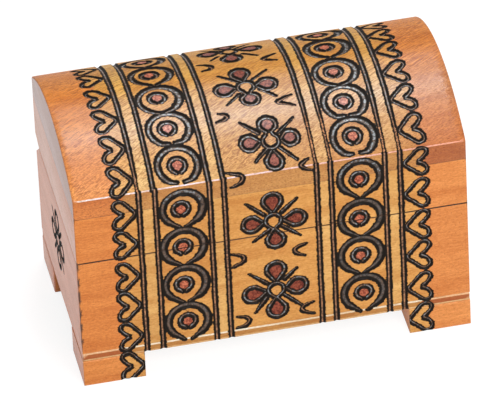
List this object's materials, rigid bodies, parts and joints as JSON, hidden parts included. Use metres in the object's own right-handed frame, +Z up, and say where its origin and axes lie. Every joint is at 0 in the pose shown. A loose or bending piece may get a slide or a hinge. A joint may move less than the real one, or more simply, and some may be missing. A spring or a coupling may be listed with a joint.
{
  "type": "treasure chest",
  "caption": "Small wooden trinket chest with an arched lid on inset brass hinges, block feet and carved bands of hearts, rings and flowers.",
  "frame": {"origin": "middle of the underside of the feet", "axes": "+X along the chest to its right end, +Y to its back, +Z up; the carved front faces -Y"},
  "size_m": [0.16, 0.088, 0.106],
  "materials": {
    "foot_wood": "orange-brown stain under gloss varnish, with burnt carved lines",
    "floor_wood": "darker brown stain under gloss varnish",
    "board_wood": "honey and orange-brown stain under gloss varnish, with burnt carved lines",
    "end_wood": "orange-brown stain under gloss varnish",
    "plank_wood": "honey and orange-brown stain under gloss varnish, with burnt carved lines",
    "hinge_brass": "satin rolled brass",
    "pin_brass": "dull drawn brass",
    "nail_brass": "polished brass"
  },
  "bodies": {
    "base": {"foot_front_left": "foot_wood", "foot_front_right": "foot_wood", "foot_back_left": "foot_wood", "foot_back_right": "foot_wood", "floor_board": "floor_wood", "base_front_board": "board_wood", "base_back_board": "board_wood", "base_left_end": "end_wood", "base_right_end": "end_wood", "left_hinge_base_leaf": "hinge_brass", "left_hinge_pin": "pin_brass", "right_hinge_base_leaf": "hinge_brass", "right_hinge_pin": "pin_brass", "base_hinge_nails": "nail_brass"},
    "lid": {"lid_front_rail": "board_wood", "lid_back_rail": "board_wood", "lid_left_end": "end_wood", "lid_right_end": "end_wood", "lid_top_plank": "plank_wood", "left_hinge_lid_leaf": "hinge_brass", "right_hinge_lid_leaf": "hinge_brass", "lid_hinge_nails": "nail_brass"}
  },
  "joints": [
    {"name": "lid_hinge", "type": "hinge", "parent": "base", "child": "lid", "pos_m": [0, 0.0368, 0.0615], "axis": [-1, 0, 0], "range_deg": [0, 65]}
  ]
}
